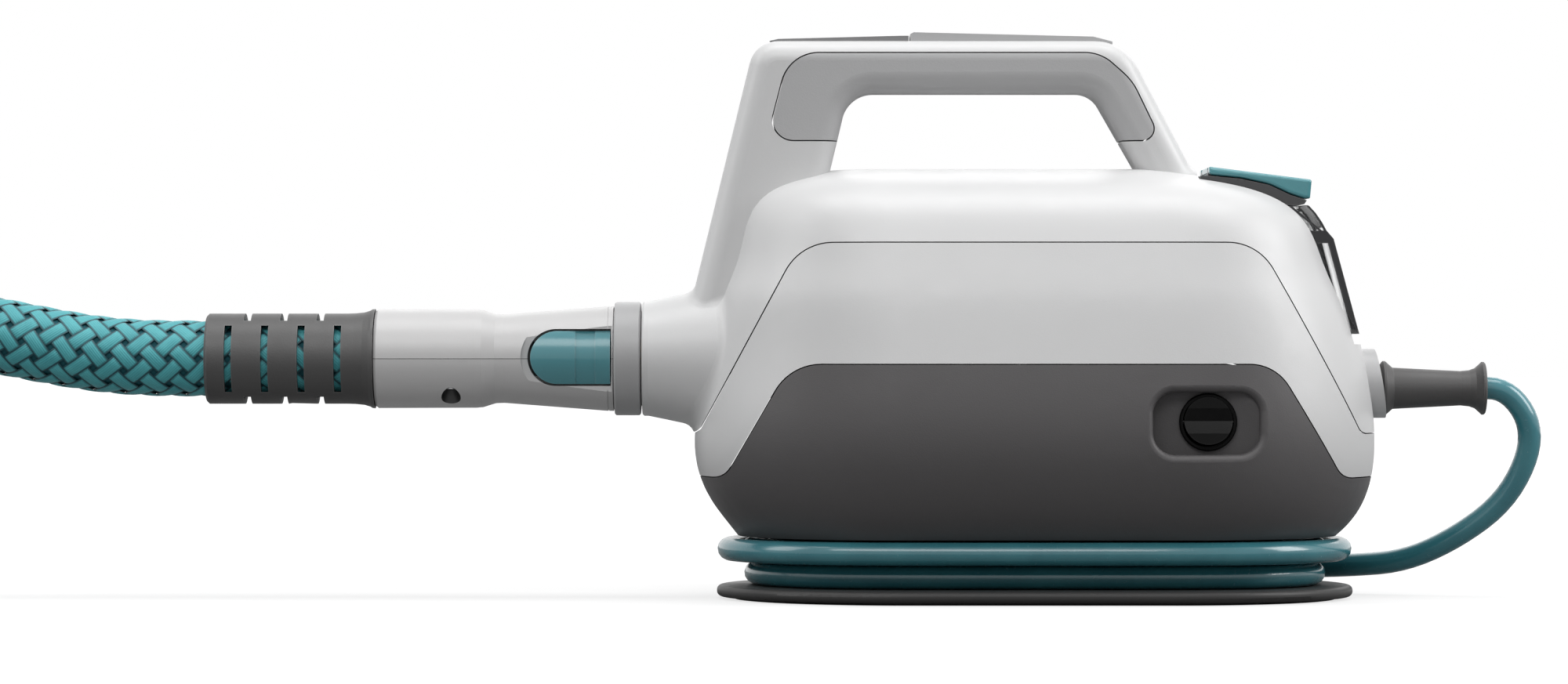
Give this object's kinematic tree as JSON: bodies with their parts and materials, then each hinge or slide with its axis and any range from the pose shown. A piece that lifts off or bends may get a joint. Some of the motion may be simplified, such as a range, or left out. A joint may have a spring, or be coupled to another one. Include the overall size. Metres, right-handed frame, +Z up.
{
  "type": "hand-held steam cleaner",
  "caption": "Hand-held steam cleaner with a carrying handle, pull-off water tank, quick-release braided hose and a mains cord wound round its base.",
  "frame": {"origin": "centre of the underside of the foot pad", "axes": "+X along the body towards the mains cord, -X towards the hose, -Y towards the power switch side, +Z up"},
  "size_m": [1.0511, 0.3302, 0.1962],
  "materials": {
    "white_plastic": "satin moulded",
    "light_grey_plastic": "satin moulded",
    "dark_grey_plastic": "satin moulded",
    "soft_grip": "soft touch",
    "grey_button": "satin moulded",
    "teal_plastic": "gloss",
    "black_plastic": "gloss",
    "clear_plastic": "clear moulded plastic",
    "grey_moulding": "plain moulded",
    "dark_rubber": "matt",
    "silicone": "translucent silicone",
    "teal_cord": "gloss PVC",
    "teal_braid": "braided",
    "plug_plastic": "moulded",
    "brass": "turned",
    "steel": "zinc plated",
    "cast_aluminium": "as cast",
    "element_steel": "heat stained",
    "copper_coil": "wound and moulded coil"
  },
  "bodies": {
    "housing": {"upper_housing": "white_plastic", "mid_housing": "light_grey_plastic", "lower_shell": "dark_grey_plastic", "handle_grip": "soft_grip", "handle_top_strip": "light_grey_plastic", "button_springs": "steel", "steam_microswitch": "black_plastic", "port_spigot": "brass", "port_seal": "dark_rubber", "base_plate": "dark_grey_plastic", "foot_pad": "dark_rubber", "cord_hub": "dark_grey_plastic", "base_screws": "steel", "housing_screws": "steel", "mains_cord_coil": "teal_cord", "mains_cord_lead": "teal_cord", "mains_cord_tail": "teal_cord", "plug_body": "plug_plastic", "plug_pins": "brass", "cord_boss": "light_grey_plastic", "cord_strain_relief": "dark_rubber", "cord_clamp": "grey_moulding", "terminal_block": "black_plastic", "switch_body": "black_plastic", "tank_bay": "grey_moulding", "tank_socket": "grey_moulding", "boiler_lower": "cast_aluminium", "boiler_gasket": "dark_rubber", "boiler_upper": "cast_aluminium", "boiler_screws": "steel", "heating_element": "element_steel", "thermostat": "grey_moulding", "thermal_fuse": "steel", "steam_pipe": "silicone", "boiler_water_pipe": "silicone", "tank_water_pipe": "silicone", "pump_barrel": "grey_moulding", "pump_coil": "copper_coil", "pump_mount": "grey_moulding"},
    "steam_button": {"steam_button": "grey_button"},
    "power_rocker": {"power_rocker": "black_plastic"},
    "tank": {"water_tank": "clear_plastic", "tank_valve": "black_plastic", "tank_frame": "black_plastic", "tank_lid": "black_plastic", "flap_hinge_pin": "steel"},
    "flap": {"filler_flap": "teal_plastic", "filler_seal": "dark_rubber"},
    "hose": {"connector_upper_half": "white_plastic", "connector_lower_half": "white_plastic", "connector_collar": "light_grey_plastic", "connector_screws": "steel", "hose_barb": "brass", "hose_relief_boot": "dark_rubber", "hose_lead": "teal_braid", "hose_coil": "teal_braid", "hose_end_fitting": "grey_moulding", "release_spring": "steel"},
    "release_button": {"release_button": "teal_plastic"}
  },
  "joints": [
    {"name": "steam_button_press", "type": "slide", "parent": "housing", "child": "steam_button", "axis": [0, 0, -1], "range_m": [0, 0.0025], "stiffness_N_per_m": 900, "springref_m": -0.004, "deforming": ["button_springs"]},
    {"name": "power_rocker_tilt", "type": "hinge", "parent": "housing", "child": "power_rocker", "pos_m": [0.0557, -0.0615, 0.062], "axis": [1, 0, 0], "range_deg": [0, 16]},
    {"name": "tank_lift", "type": "slide", "parent": "housing", "child": "tank", "axis": [0, 0, 1], "range_m": [0, 0.09]},
    {"name": "filler_flap_hinge", "type": "hinge", "parent": "tank", "child": "flap", "pos_m": [0.06065, 0, 0.14795], "axis": [0, -1, 0], "range_deg": [0, 85]},
    {"name": "hose_pull_off", "type": "slide", "parent": "housing", "child": "hose", "axis": [-1, 0, 0], "range_m": [0, 0.04]},
    {"name": "release_button_press", "type": "slide", "parent": "hose", "child": "release_button", "axis": [0, 1, 0], "range_m": [0, 0.0015], "stiffness_N_per_m": 900, "springref_m": -0.003, "deforming": ["release_spring"]}
  ]
}
